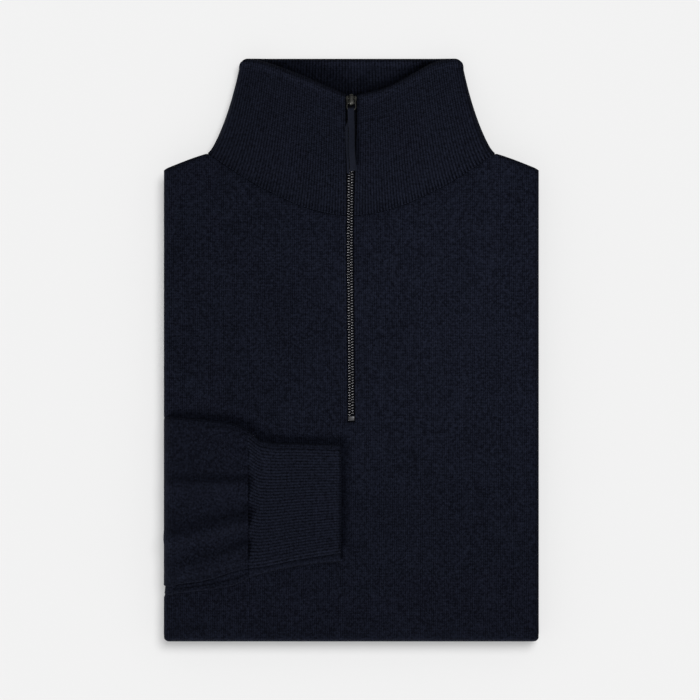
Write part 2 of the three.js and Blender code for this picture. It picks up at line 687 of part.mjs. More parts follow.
const navyKnit = { color: "#121520", roughness: 0.95, metalness: 0 };
const navyRib = { color: "#12141e", roughness: 0.95, metalness: 0 };
const zipCloth = { color: "#11131d", roughness: 0.9, metalness: 0 };
const darkMetal = { color: "#4a4a4b", roughness: 0.38, metalness: 0.9 };

const pieces = [
  ["front_body", frontBody(), navyKnit],
  ["back_body", backBody(), navyKnit],
  ["folded_layers", foldedLayers(), navyKnit],
  ["hem_rib", hemRib(), navyRib],
  ["collar", collar(), navyRib],
  ["right_sleeve", rightSleeve(), navyKnit],
  ["right_cuff", rightCuff(), navyRib],
  ["zip_tape", zipTape(), zipCloth],
  ["zip_chain", zipChain(), darkMetal],
  ["zip_stop", zipStop(), darkMetal],
  ["zip_slider", zipSlider(), darkMetal],
  ["pull_ring", pullRing(), darkMetal],
  ["pull_tab", pullTab(), zipCloth],
];

const sweater = new THREE.Group();
sweater.name = "quarter_zip_sweater";
for (const [name, geometry, look] of pieces) {
  const mesh = new THREE.Mesh(geometry, new THREE.MeshStandardMaterial(look));
  mesh.name = name;
  sweater.add(mesh);
}

export default sweater;
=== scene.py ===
"""Quarter zip sweater in fine navy knit, folded flat with one sleeve laid over the front."""
import json
import math

import bmesh
import bpy
from mathutils import Matrix, Vector


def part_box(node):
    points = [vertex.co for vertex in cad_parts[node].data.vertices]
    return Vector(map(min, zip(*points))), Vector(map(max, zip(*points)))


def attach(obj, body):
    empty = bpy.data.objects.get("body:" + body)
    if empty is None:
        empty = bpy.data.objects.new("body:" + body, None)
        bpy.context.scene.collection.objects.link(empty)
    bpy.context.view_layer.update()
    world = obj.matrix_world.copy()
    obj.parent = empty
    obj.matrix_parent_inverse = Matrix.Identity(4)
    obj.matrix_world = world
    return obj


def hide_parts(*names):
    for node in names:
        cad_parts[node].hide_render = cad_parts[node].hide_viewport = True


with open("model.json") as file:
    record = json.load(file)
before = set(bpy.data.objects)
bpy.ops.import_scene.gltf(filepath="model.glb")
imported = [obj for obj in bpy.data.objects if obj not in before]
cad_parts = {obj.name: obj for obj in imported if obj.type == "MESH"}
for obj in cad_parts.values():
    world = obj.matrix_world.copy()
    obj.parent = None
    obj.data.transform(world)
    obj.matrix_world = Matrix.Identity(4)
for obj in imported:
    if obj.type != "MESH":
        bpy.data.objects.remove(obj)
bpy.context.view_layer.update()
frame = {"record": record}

# Shapes are worked out in millimetres, in the frame's own axes, and stored in metres.
MM = 0.001


def box_mm(node):
    low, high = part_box(node)
    return [v / MM for v in low], [v / MM for v in high]


front_low, front_high = box_mm("front_body")
HALF = front_high[0]  # half the folded width
END = -front_low[1]  # from the middle to the bottom fold
THICK = 20.0  # level of the laid front
CLOTH = 1.4
HEM_CLOTH = 1.8
COLLAR_CLOTH = 2.5
CUFF_CLOTH = 1.75
SEAM_GAP = 0.3
SIDE_ROUND = 3.4
SIDE_DEPTH = 9.2
SIDE_RETURN = 11.0
FOLD_DEPTH = 7.4
SHOULDER_ROUND = 4.0
SHOULDER_DROP = 2.9
HEM_SEAM = 50.0
HEM_END = box_mm("hem_rib")[1][1]
BACK_LEVEL = 9.6
BACK_SHOWS = 30.0
COLLAR_ROUND = 4.5
FRONT_RIBS = 49
BACK_RIBS = 78
COLLAR_RIBS = 2 * FRONT_RIBS + BACK_RIBS
COLLAR_WALL = 80.0  # from the neck seam to the top edge
CUFF_RIBS = 38
RIB_HEIGHT = 0.4
RIB_PITCH = 2.05
SLIT_HALF = 2.6
SLIT_END = -52.0
TAPE_HALF = 13.0
SLEEVE_LIFT = 0.4
SLEEVE_HEIGHT = 3.9
CUFF_HEIGHT = 4.4
SLEEVE_DEPTH = 8.0
SLEEVE_FLAT = 120.0  # width of the sleeve beside the cuff, laid flat
SLEEVE_TURN = 6.0  # radius by which the run round the left fold is counted
SLEEVE_TUCK = 6.0  # how far the sleeve goes on under the front
CUFF_SEAM = -73.4
SLEEVE_SEAM = CUFF_SEAM - SEAM_GAP
CUFF_END = box_mm("right_cuff")[1][0] + 1.3
FOLD_RADIUS = THICK / 2
FOLD_DEEP = 3.4
FOLD_Y = -END + FOLD_DEEP
SLEEVE_INSET = SLEEVE_HEIGHT + SLEEVE_LIFT

# Neck seam of the front from the middle out, and the shoulder line on from there.
SEAM = [
    dict(x=0, y=96), dict(x=12, y=96.8), dict(x=26, y=99.9), dict(x=40, y=104.4),
    dict(x=53, y=110.5), dict(x=65, y=116.3), dict(x=79, y=124.6), dict(x=92, y=133),
    dict(x=102.6, y=140.6),
]
SHOULDER = [dict(x=102.6, y=140.6), dict(x=116, y=136), dict(x=HALF, y=128.7)]
BACK_SEAM = [
    dict(x=0, y=128.4), dict(x=35, y=129.2), dict(x=70, y=132.6), dict(x=92, y=137),
    dict(x=102.6, y=140.6),
]
# The flattened collar from seam (0) to top edge (1): level of the front's face and of the back's
# underside.
COLLAR = [
    dict(up=0, front=20, back=9.6), dict(up=0.2, front=18.8, back=7.2),
    dict(up=0.58, front=15.4, back=3.7), dict(up=1, front=11.2, back=0.5),
]
COLLAR_BASE_HALF = 102.4
COLLAR_TOP_HALF = 80.2
COLLAR_FLARE = 13.44  # how far the side's curve is drawn in from the base
# Top edges of the collar by distance from the middle, on the left and on the right.
COLLAR_FRONT_EDGE = [
    dict(x=0, left=182.9, right=182.9), dict(x=4.2, left=183.9, right=183.2),
    dict(x=14, left=188, right=185.6), dict(x=20, left=190.5, right=187),
    dict(x=29, left=194.6, right=190.3), dict(x=43, left=200.3, right=197.8),
    dict(x=58, left=205.7, right=205.9), dict(x=70, left=208.8, right=208.9),
    dict(x=76, left=209, right=209), dict(x=79, left=206.9, right=206.9),
    dict(x=80.2, left=204.5, right=204.5),
]
COLLAR_BACK_EDGE = [
    dict(x=0, left=END, right=END), dict(x=60, left=END, right=END),
    dict(x=74.6, left=END, right=END), dict(x=77.6, left=209, right=209),
    dict(x=79.4, left=207, right=207), dict(x=80.2, left=204.5, right=204.5),
]
NOTCH_Y = COLLAR_FRONT_EDGE[0]["left"]
# Flattened sleeve and cuff: upper edge, lower edge of the upper layer, lower edge of the layer
# that shows under it.
SLEEVE = [
    dict(x=-134.5, upper=-48.2, lip=-169.9, lower=-175.7),
    dict(x=-121.7, upper=-49, lip=-167.8, lower=-174.2),
    dict(x=-108.7, upper=-50, lip=-166, lower=-172.8),
    dict(x=-97.9, upper=-51.1, lip=-163.4, lower=-171.4),
    dict(x=-83.5, upper=-53.4, lip=-158.6, lower=-168.5),
    dict(x=-73.4, upper=-58.6, lip=-156.6, lower=-163.6),
    dict(x=-64.1, upper=-65.5, lip=-155.5, lower=-160.6),
    dict(x=-36.7, upper=-67.3, lip=-150.1, lower=-154.8),
    dict(x=-8.6, upper=-68.4, lip=-145.8, lower=-151.9),
]
# Ridges where the sleeve is drawn into the cuff: place along the seam, place 50 mm from the seam,
# height, half width towards the collar and towards the hem, length over which the ridge dies out.
RIDGES = [
    dict(seam=-75, far=-72, high=0.9, above=3, below=4, reach=14),
    dict(seam=-86, far=-84, high=1.0, above=2.5, below=2.6, reach=16),
    dict(seam=-95.6, far=-96.2, high=3.8, above=4.2, below=9.5, reach=90),
    dict(seam=-106, far=-105, high=0.5, above=2, below=2.5, reach=9),
    dict(seam=-112, far=-116, high=0.5, above=2, below=2.5, reach=9),
    dict(seam=-121.4, far=-134.8, high=5.4, above=7.6, below=5.0, reach=210),
    dict(seam=-131.5, far=-138, high=0.5, above=1.8, below=2.2, reach=8),
    dict(seam=-141, far=-157.5, high=3.5, above=4.6, below=8, reach=52),
    dict(seam=-151.5, far=-163, high=0.8, above=2.6, below=3, reach=24),
]


def clamp(value):
    return min(1.0, max(0.0, value))


def smoothstep(value, low, high):
    t = clamp((value - low) / (high - low))
    return t * t * (3 - 2 * t)


def lerp(a, b, t):
    return a + (b - a) * t


def read(rows, key, column, value, level_start=False):
    """The value in one column of a table, on a smooth line through its rows."""
    i = 1
    while i < len(rows) - 1 and rows[i][key] < value:
        i += 1
    a, b = rows[i - 1], rows[i]
    width = b[key] - a[key]
    t = clamp((value - a[key]) / width)

    def slope(k):
        low, high = rows[max(0, k - 1)], rows[min(len(rows) - 1, k + 1)]
        if level_start and k == 0:
            return 0.0
        return (high[column] - low[column]) / (high[key] - low[key]) * width

    rise, run = slope(i - 1), slope(i)
    return (
        (2 * t**3 - 3 * t**2 + 1) * a[column] + (t**3 - 2 * t**2 + t) * rise
        + (3 * t**2 - 2 * t**3) * b[column] + (t**3 - t**2) * run
    )


def stops(*runs):
    """Places along a line: each run is (end, step), from the end of the run before it."""
    places = [runs[0]]
    for end, step in runs[1:]:
        start = places[-1]
        count = max(1, round(abs(end - start) / step))
        places += [lerp(start, end, (k + 1) / count) for k in range(count)]
    return places


def with_round_ends(places, radius, low=True, high=True):
    """Adds close stops at the ends of a run, where the cloth's edge rounds over."""
    near = [radius * share for share in (0.06, 0.25, 0.6, 1.0)]
    first, last = places[0], places[-1]
    kept = [
        p for p in places
        if (not low or p == first or p > first + radius * 1.3)
        and (not high or p == last or p < last - radius * 1.3)
    ]
    if low:
        kept[1:1] = [first + d for d in near]
    if high:
        kept[-1:-1] = [last - d for d in reversed(near)]
    return kept


def finish_mesh(name, bm, material, body, replaced=()):
    mesh = bpy.data.meshes.new(name)
    bm.to_mesh(mesh)
    bm.free()
    mesh.materials.append(material)
    piece = bpy.data.objects.new(name, mesh)
    bpy.context.scene.collection.objects.link(piece)
    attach(piece, body)
    if replaced:
        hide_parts(*replaced)
    return piece


def cloth_wall(across, along, place, half, edge, knit, ribs=None, hole=None, closed=False,
               turned=False):
    """A closed cloth wall about the middle surface place(c, s), its edges rounded over.

    half(c, s) is half the thickness, edge(c, s) the distance to the nearest cut edge, knit(c, s)
    the place in the knitted piece, and ribs(c, s) what the outer and the inner face rise by.
    """
    bm = bmesh.new()
    uv_layer = bm.loops.layers.uv.new("knit")
    mark = bm.verts.layers.float_vector.new("spot")
    columns, rows = len(across) - 1, len(along) - 1
    bmesh.ops.create_grid(bm, x_segments=columns, y_segments=rows, size=0.5)
    for vert in bm.verts:
        i = round((vert.co.x + 0.5) * columns)
        j = round((vert.co.y + 0.5) * rows)
        vert[mark] = (across[i], along[j], 0)
        vert.co = place(across[i], along[j]) * MM
    if hole:
        gone = []
        for face in bm.faces:
            middle = sum((v[mark] for v in face.verts), Vector()) / 4
            if hole(middle.x, middle.y):
                gone.append(face)
        bmesh.ops.delete(bm, geom=gone, context="FACES")
    for face in bm.faces:
        face.smooth = True
        for loop in face.loops:
            loop[uv_layer].uv = knit(*loop.vert[mark][:2])
    if closed:
        bmesh.ops.remove_doubles(bm, verts=bm.verts, dist=1e-7)
    if turned:
        bmesh.ops.reverse_faces(bm, faces=bm.faces)
    bm.normal_update()
    copied = bmesh.ops.duplicate(bm, geom=bm.verts[:] + bm.edges[:] + bm.faces[:])
    inner_faces = [g for g in copied["geom"] if isinstance(g, bmesh.types.BMFace)]
    inner = {g for g in copied["geom"] if isinstance(g, bmesh.types.BMVert)}
    rims = []
    for vert in bm.verts:
        c, s, _ = vert[mark]
        thick = half(c, s)
        near = clamp(edge(c, s) / thick)
        rounding = math.sqrt(1 - (1 - near) ** 2) if near > 0.004 else 0
        out, back = ribs(c, s) if ribs else (0, 0)
        offset = -(thick + back) if vert in inner else thick + out
        vert.co += vert.normal * (offset * rounding * MM)
        if rounding == 0:
            rims.append(vert)
    bmesh.ops.reverse_faces(bm, faces=inner_faces)
    bmesh.ops.remove_doubles(bm, verts=rims, dist=1e-6)
    bm.verts.layers.float_vector.remove(mark)
    return bm


# Looks: shared effects first


def new_group(name, inputs, outputs):
    tree = bpy.data.node_groups.new(name, "ShaderNodeTree")
    for label, kind in inputs:
        tree.interface.new_socket(label, in_out="INPUT", socket_type=kind)
    for label, kind in outputs:
        tree.interface.new_socket(label, in_out="OUTPUT", socket_type=kind)
    return tree, tree.nodes.new("NodeGroupInput"), tree.nodes.new("NodeGroupOutput")


def math_node(tree, operation, a, b=None):
    node = tree.nodes.new("ShaderNodeMath")
    node.operation = operation
    for socket, value in zip(node.inputs, (a, b)):
        if value is None:
            continue
        if isinstance(value, (int, float)):
            socket.default_value = value
        else:
            tree.links.new(value, socket)
    return node.outputs[0]


def knit_loops_group():
    """Rows of V-shaped loops: place in millimetres, loop width and height, to their relief."""
    tree, given, result = new_group(
        "Knit loops",
        [("Place", "NodeSocketVector"), ("Width", "NodeSocketFloat"), ("Height", "NodeSocketFloat")],
        [("Relief", "NodeSocketFloat")],
    )
    split = tree.nodes.new("ShaderNodeSeparateXYZ")
    tree.links.new(given.outputs["Place"], split.inputs[0])
    wale = math_node(tree, "DIVIDE", split.outputs[0], given.outputs["Width"])
    course = math_node(tree, "DIVIDE", split.outputs[1], given.outputs["Height"])
    in_loop = math_node(tree, "FRACT", wale)
    from_middle = math_node(tree, "ABSOLUTE", math_node(tree, "SUBTRACT", in_loop, 0.5))
    lean = math_node(tree, "ADD", course, math_node(tree, "MULTIPLY", from_middle, 1.1))
    strand = math_node(tree, "SINE", math_node(tree, "MULTIPLY", lean, 2 * math.pi))
    body = math_node(tree, "SINE", math_node(tree, "MULTIPLY", in_loop, math.pi))
    relief = math_node(
        tree, "MULTIPLY", body,
        math_node(tree, "ADD", 0.62, math_node(tree, "MULTIPLY", strand, 0.38)),
    )
    tree.links.new(relief, result.inputs["Relief"])
    return tree


def heather_group():
    """Stray fibres and uneven dye: place in metres to two mix values around a half."""
    tree, given, result = new_group(
        "Heather", [("Place", "NodeSocketVector")],
        [("Fibre", "NodeSocketFloat"), ("Cloud", "NodeSocketFloat")],
    )
    for label, scale, detail in (("Fibre", 620, 3), ("Cloud", 38, 3)):
        texture = tree.nodes.new("ShaderNodeTexNoise")
        texture.inputs["Scale"].default_value = scale
        texture.inputs["Detail"].default_value = detail
        texture.inputs["Roughness"].default_value = 0.6
        tree.links.new(given.outputs["Place"], texture.inputs["Vector"])
        tree.links.new(texture.outputs["Fac"], result.inputs[label])
    return tree


KNIT_LOOPS = knit_loops_group()
HEATHER = heather_group()


def new_material(name):
    material = bpy.data.materials.new(name)
    material.use_nodes = True
    shader = material.node_tree.nodes["Principled BSDF"]
    return material, material.node_tree, shader


def heather_node(tree):
    """The heather effect, on the piece's own coordinates."""
    solid = tree.nodes.new("ShaderNodeTexCoord")
    heather = tree.nodes.new("ShaderNodeGroup")
    heather.node_tree = HEATHER
    tree.links.new(solid.outputs["Object"], heather.inputs["Place"])
    return heather


def mix_colours(tree, shader, share, first, second):
    colour = tree.nodes.new("ShaderNodeMix")
    colour.data_type = "RGBA"
    colour.inputs["A"].default_value = (*first, 1)
    colour.inputs["B"].default_value = (*second, 1)
    tree.links.new(share, colour.inputs["Factor"])
    tree.links.new(colour.outputs["Result"], shader.inputs["Base Color"])


def raise_surface(tree, shader, height, strength, distance):
    """Bump of a height that changes over the surface, up to a distance in millimetres."""
    surface = tree.nodes.new("ShaderNodeBump")
    surface.inputs["Strength"].default_value = strength
    surface.inputs["Distance"].default_value = distance * MM
    tree.links.new(height, surface.inputs["Height"])
    tree.links.new(surface.outputs["Normal"], shader.inputs["Normal"])


def knit_material(name, dark, light, wale, course, relief, rib=None):
    """Wool knit: dark and light colours, mixed by the yarn's uneven tone, by painted shade in the
    loop hollows with painted light on the loop tops, and for rib by painted shade in the rib
    valleys; then loop width and height, relief and the rib's width in millimetres."""
    material, tree, shader = new_material(name)
    place = tree.nodes.new("ShaderNodeUVMap")
    place.uv_map = "knit"
    loops = tree.nodes.new("ShaderNodeGroup")
    loops.node_tree = KNIT_LOOPS
    loops.inputs["Width"].default_value = wale
    loops.inputs["Height"].default_value = course
    tree.links.new(place.outputs["UV"], loops.inputs["Place"])
    heather = heather_node(tree)
    # Colour mix value: the loop relief paints shade into the loop hollows and light onto the loop
    # tops; the heather fibre and cloud are the yarn's own uneven tone.
    yarn_tone_and_painted_shade = math_node(
        tree, "ADD",
        math_node(tree, "MULTIPLY", loops.outputs["Relief"], 0.45),
        math_node(tree, "ADD", math_node(tree, "MULTIPLY", heather.outputs["Fibre"], 1.5),
                  math_node(tree, "MULTIPLY", heather.outputs["Cloud"], 0.2)),
    )
    ramp = tree.nodes.new("ShaderNodeMapRange")
    ramp.inputs["From Min"].default_value = 0.79
    ramp.inputs["From Max"].default_value = 1.52
    if rib:
        across = tree.nodes.new("ShaderNodeSeparateXYZ")
        tree.links.new(place.outputs["UV"], across.inputs[0])
        # Painted shade: the colour is darker in the rib valleys and lighter on the crests, striped
        # at the rib's pitch.
        turn = math_node(tree, "MULTIPLY", across.outputs[0], math.pi / rib)
        crest = math_node(tree, "ABSOLUTE", math_node(tree, "SINE", turn))
        crest = math_node(tree, "MULTIPLY", crest, heather.outputs["Fibre"])
        yarn_tone_and_painted_shade = math_node(tree, "ADD", yarn_tone_and_painted_shade, math_node(tree, "MULTIPLY", crest, 0.6))
        ramp.inputs["From Max"].default_value = 1.71
    tree.links.new(yarn_tone_and_painted_shade, ramp.inputs["Value"])
    mix_colours(tree, shader, ramp.outputs["Result"], dark, light)
    raised = math_node(
        tree, "ADD", loops.outputs["Relief"],
        math_node(tree, "MULTIPLY", heather.outputs["Fibre"], 1.2),
    )
    raise_surface(tree, shader, raised, 0.6, relief)
    shader.inputs["Roughness"].default_value = 0.95
    shader.inputs["Specular IOR Level"].default_value = 0.06
    shader.inputs["Sheen Weight"].default_value = 0.02
    shader.inputs["Sheen Roughness"].default_value = 0.5
    shader.inputs["Sheen Tint"].default_value = (0.45, 0.52, 0.78, 1)
    return material


def woven_material(name, dark, light, thread):
    """Close weave of the zip's tape and tab."""
    material, tree, shader = new_material(name)
    solid = tree.nodes.new("ShaderNodeTexCoord")
    weave = tree.nodes.new("ShaderNodeTexChecker")
    weave.inputs["Scale"].default_value = 1 / (thread * MM)
    tree.links.new(solid.outputs["Object"], weave.inputs["Vector"])
    mix_colours(tree, shader, heather_node(tree).outputs["Fibre"], dark, light)
    raise_surface(tree, shader, weave.outputs["Fac"], 0.35, 0.1)
    shader.inputs["Roughness"].default_value = 0.85
    shader.inputs["Specular IOR Level"].default_value = 0.1
    shader.inputs["Sheen Weight"].default_value = 0.03
    return material


def metal_material(name, colour, roughness):
    """Dark plated metal, a little uneven and worn brighter in patches."""
    material, tree, shader = new_material(name)
    solid = tree.nodes.new("ShaderNodeTexCoord")
    spots = tree.nodes.new("ShaderNodeTexNoise")
    spots.inputs["Scale"].default_value = 1500
    spots.inputs["Detail"].default_value = 3
    tree.links.new(solid.outputs["Object"], spots.inputs["Vector"])
    dull, worn = ([c * share for c in colour] for share in (0.75, 1.3))
    mix_colours(tree, shader, spots.outputs["Fac"], dull, worn)
    rough = math_node(tree, "ADD", roughness - 0.08,
                      math_node(tree, "MULTIPLY", spots.outputs["Fac"], 0.16))
    tree.links.new(rough, shader.inputs["Roughness"])
    shader.inputs["Metallic"].default_value = 1.0
    return material


# Ends of each knit's colour mix: the yarn's uneven tone, and painted shade in the loop hollows and
# rib valleys with painted light on the loop tops and rib crests.
DARK_YARN_AND_PAINTED_SHADE = (0.0008, 0.0011, 0.0032)
LIGHT_YARN_AND_PAINTED_LIGHT = (0.0103, 0.0128, 0.0243)
RIB_DARK_AND_PAINTED_SHADE = (0.0004, 0.0006, 0.002)
RIB_LIGHT_AND_PAINTED_LIGHT = (0.009, 0.0111, 0.021)
jersey = knit_material("Fine navy jersey", DARK_YARN_AND_PAINTED_SHADE, LIGHT_YARN_AND_PAINTED_LIGHT, 1.55, 1.2, 0.32)
rib_knit = knit_material("Navy rib", RIB_DARK_AND_PAINTED_SHADE, RIB_LIGHT_AND_PAINTED_LIGHT, RIB_PITCH, 1.25, 0.25, rib=RIB_PITCH)
tape_weave = woven_material("Navy zip tape", (0.003, 0.0036, 0.007), (0.006, 0.007, 0.013), 0.5)
tab_weave = woven_material("Navy pull tape", (0.0028, 0.0038, 0.0082), (0.008, 0.0102, 0.0195), 0.5)
teeth_metal = metal_material("Dark zip teeth", (0.085, 0.085, 0.09), 0.3)
slider_metal = metal_material("Dark slider", (0.055, 0.055, 0.051), 0.36)


# Folded body


def seam_y(x):
    x = abs(x)
    if x <= SEAM[-1]["x"]:
        return read(SEAM, "x", "y", x, level_start=True)
    return read(SHOULDER, "x", "y", x)


def back_seam_y(x):
    x = abs(x)
    if x <= BACK_SEAM[-1]["x"]:
        return read(BACK_SEAM, "x", "y", x, level_start=True)
    return read(SHOULDER, "x", "y", x)


def ease(x, y):
    """Soft unevenness of the laid front."""
    off = smoothstep(abs(x), 6, 34) * (1 - smoothstep(abs(x), 104, 124))
    ends = smoothstep(y, -196, -170) * (1 - smoothstep(y, 60, 92))
    wave = 0.3 * math.sin(x / 27 + 0.8) * math.cos(y / 41) - 0.2 * math.sin(y / 23 + x / 60)
    return off * ends * wave


def under_sleeve(side, y):
    """How far the left fold steps back for the sleeve that wraps it, and for its lower layer."""
    if side >= 0:
        return 0.0
    shown = smoothstep(y, -175.9, -174.4) * (1 - smoothstep(y, -52.4, -50.2))
    return shown * lerp(0.42, 1, smoothstep(y, -171, -169.2))


def zip_bow(x, y):
    """The zip lies in a slight bow, and the cloth beside it goes along."""
    return -0.85 * math.exp(-(((y - 75) / 58) ** 2)) * (1 - smoothstep(abs(x), 6, 70))


FLAT = HALF - SIDE_ROUND
TURN = math.pi * SIDE_ROUND
REACH = FLAT + TURN + SIDE_RETURN - SIDE_ROUND
TOP_RUN = SEAM[0]["y"] - FOLD_Y
FOLD_RUN = math.pi * FOLD_RADIUS
HEM_RUN = TOP_RUN + FOLD_RUN + HEM_SEAM - FOLD_Y
TAPE_PRESS = 0.22  # how far the tape's edge shows through
SEAM_SQUARE = 40  # at a seam the wall has its whole thickness almost at once
SLIT_ROLL = dict(left=0.65, right=0.35, at=3.7, wide=0.9)  # roll of the front beside the slit


def row_of(c, s):
    """Where a row of the body lies: its y, how far it is round the fold, and its boundary gap."""
    x = min(abs(c), HALF)
    if s <= TOP_RUN:
        top = seam_y(x) - SEAM_GAP / 2
        y = SEAM[0]["y"] - SEAM_GAP / 2 - s
        y += (top - SEAM[0]["y"]) * (1 - smoothstep(s, 6, 150))
        return y, None, top - y
    if s <= TOP_RUN + FOLD_RUN:
        return FOLD_Y, (s - TOP_RUN) / FOLD_RADIUS, None
    return FOLD_Y + s - TOP_RUN - FOLD_RUN, math.pi, None


def body_place(c, s, skin=CLOTH / 2):
    """The wrapped body, `skin` under its face: c across it, s along it from the neck seam."""
    side = math.copysign(1, c)
    y, fold, inset = row_of(c, s)
    sleeve = under_sleeve(side, y) if fold in (None, math.pi) else 0.0
    bend = 0.0 if fold is None else math.sin(fold)
    near_fold = smoothstep(y, FOLD_Y + 14, FOLD_Y)
    deep = lerp(lerp(SIDE_DEPTH, SLEEVE_DEPTH, sleeve), FOLD_DEPTH, near_fold)
    drop = 0.0
    if inset is not None and inset < SHOULDER_ROUND:
        share = 1 - max(0.0, inset) / SHOULDER_ROUND
        drop = SHOULDER_DROP * (1 - math.sqrt(max(0.0, 1 - share * share)))
        drop *= smoothstep(min(abs(c), HALF), 103, 108)
        deep -= 2 * drop
    x = c
    under = -drop - skin
    past = abs(c) - FLAT
    if past > 0:
        edge = HALF - SLEEVE_INSET * sleeve
        angle = min(past, TURN) / SIDE_ROUND
        x = side * (edge - SIDE_ROUND + (SIDE_ROUND - skin) * math.sin(angle) - max(0, past - TURN))
        under = -drop - deep / 2 + (deep / 2 - skin) * math.cos(angle)
    if fold is None:
        z = THICK + under
        if past <= 0:
            z += ease(x, y)
            rolled = math.exp(-(((abs(x) - SLIT_ROLL["at"]) / SLIT_ROLL["wide"]) ** 2))
            rolled *= smoothstep(y, SLIT_END - 2, SLIT_END + 4)
            z += SLIT_ROLL["left" if x < 0 else "right"] * rolled
            x += zip_bow(x, y)
            over_tape = 1 - smoothstep(abs(x), TAPE_HALF - 1.2, TAPE_HALF + 2)
            z += TAPE_PRESS * over_tape * smoothstep(y, SLIT_END - 9, SLIT_END - 3)
            z -= 0.45 * math.exp(-((inset / 1.6) ** 2)) * (1 - smoothstep(abs(x), 98, 104))
        return Vector((x, y, z))
    if fold >= math.pi:
        return Vector((x, y, -under))
    radius = FOLD_RADIUS + under
    return Vector((x, FOLD_Y - (FOLD_DEEP + under) * bend, FOLD_RADIUS + radius * math.cos(fold)))


def body_knit(c, s):
    if s <= TOP_RUN:
        return c, row_of(c, s)[0]
    return c, FOLD_Y - (s - TOP_RUN)


def half_columns(step):
    near_slit = [SLIT_HALF, 2.64, 2.78, 3.02, SLIT_HALF + CLOTH / 2, 4.0, 5.2, 6.8, 9.0, 11.6]
    return near_slit + stops(13.0, (FLAT, step), (FLAT + TURN, 1.3), (REACH, 1.4))


def front_panel():
    right = half_columns(3.0)
    across = [-c for c in reversed(right)] + [0.0] + right
    across = with_round_ends(across, CLOTH / 2)
    slit_run = SEAM[0]["y"] - SEAM_GAP / 2 - SLIT_END
    along = stops(0, (0.9, 0.45), (SHOULDER_ROUND, 0.62), (8, 1.3), (slit_run - 1, 2.9),
                  (slit_run, 0.25), (slit_run + 1.2, 0.3), (TOP_RUN, 2.9),
                  (TOP_RUN + FOLD_RUN, 1.5), (HEM_RUN - 1.4, 5), (HEM_RUN - SEAM_GAP / 2, 0.7))
    along = with_round_ends(along, CLOTH / 2)

    def edge(c, s):
        y = row_of(c, s)[0]
        ends = min(s * SEAM_SQUARE, along[-1] - s, REACH - abs(c))
        if s > TOP_RUN:
            return ends
        aside = max(0.0, abs(c) - SLIT_HALF)
        return min(ends, aside if y >= SLIT_END else math.hypot(aside, SLIT_END - y))

    bm = cloth_wall(
        across, along, body_place, lambda c, s: CLOTH / 2, edge, body_knit,
        hole=lambda c, s: abs(c) < SLIT_HALF and s < slit_run, turned=True,
    )
    piece = finish_mesh("front_panel", bm, jersey, "sweater", ["front_body"])
    return piece


def hem_band():
    """The hem rib: smooth where it lies flat, ribbed round the side folds."""
    right = stops(0, (FLAT, 6.5), (FLAT + TURN, 0.35), (REACH, 0.4))
    across = [-c for c in reversed(right[1:])] + right
    across = with_round_ends(across, HEM_CLOTH / 2)
    start = HEM_RUN + SEAM_GAP / 2
    end = start + HEM_END - HEM_SEAM - SEAM_GAP
    along = with_round_ends(stops(start, (end, 4)), HEM_CLOTH / 2)

    def ribs(c, s):
        past = abs(c) - FLAT
        rise = 0.3 * abs(math.sin(math.pi * past / RIB_PITCH)) if past > 0.5 else 0
        return rise, 0

    bm = cloth_wall(
        across, along, lambda c, s: body_place(c, s, HEM_CLOTH / 2), lambda c, s: HEM_CLOTH / 2,
        lambda c, s: min(s - start, end - s, REACH - abs(c)), body_knit, ribs=ribs, turned=True,
    )
    piece = finish_mesh("hem_band", bm, rib_knit, "sweater", ["hem_rib"])
    return piece


def back_yoke():
    """The back where it shows under the neck and shoulders."""
    reach = HALF - SIDE_RETURN - 1
    across = with_round_ends(stops(-reach, (reach, 3.5)), CLOTH / 2)
    along = with_round_ends(stops(0, (SHOULDER_ROUND, 0.6), (BACK_SHOWS, 2.6)), CLOTH / 2)

    def place(c, s):
        share = clamp(1 - s / SHOULDER_ROUND)
        roll = 2.6 * (1 - math.sqrt(1 - share * share)) * smoothstep(abs(c), 100, 106)
        roll += 2.5 * (1 - smoothstep(s, 0, 5)) * math.exp(-(((abs(c) - 101) / 4) ** 2))
        return Vector((c, back_seam_y(c) - SEAM_GAP / 2 - s, BACK_LEVEL + roll + CLOTH / 2))

    bm = cloth_wall(
        across, along, place, lambda c, s: CLOTH / 2,
        lambda c, s: min(s * SEAM_SQUARE, BACK_SHOWS - s, reach - abs(c)),
        lambda c, s: (c, -s),
    )
    piece = finish_mesh("back_yoke", bm, jersey, "sweater", ["back_body"])
    return piece


# Folded layers inside: levels, half width, ends, how far their collar end is from the seam.
LAYERS = [
    dict(low=2.2, high=5.4, half=128, foot=-201.4, head=118, neck=None),
    dict(low=5.2, high=8.6, half=119, foot=-206.2, head=116.4, neck=None),
    dict(low=8.4, high=11.6, half=118, foot=-207.2, head=94, neck=None),
    dict(low=11.4, high=14.8, half=119, foot=-206.2, head=136, neck=7),
    dict(low=14.6, high=17.0, half=124.6, foot=-201.4, head=136, neck=-8.5),
]


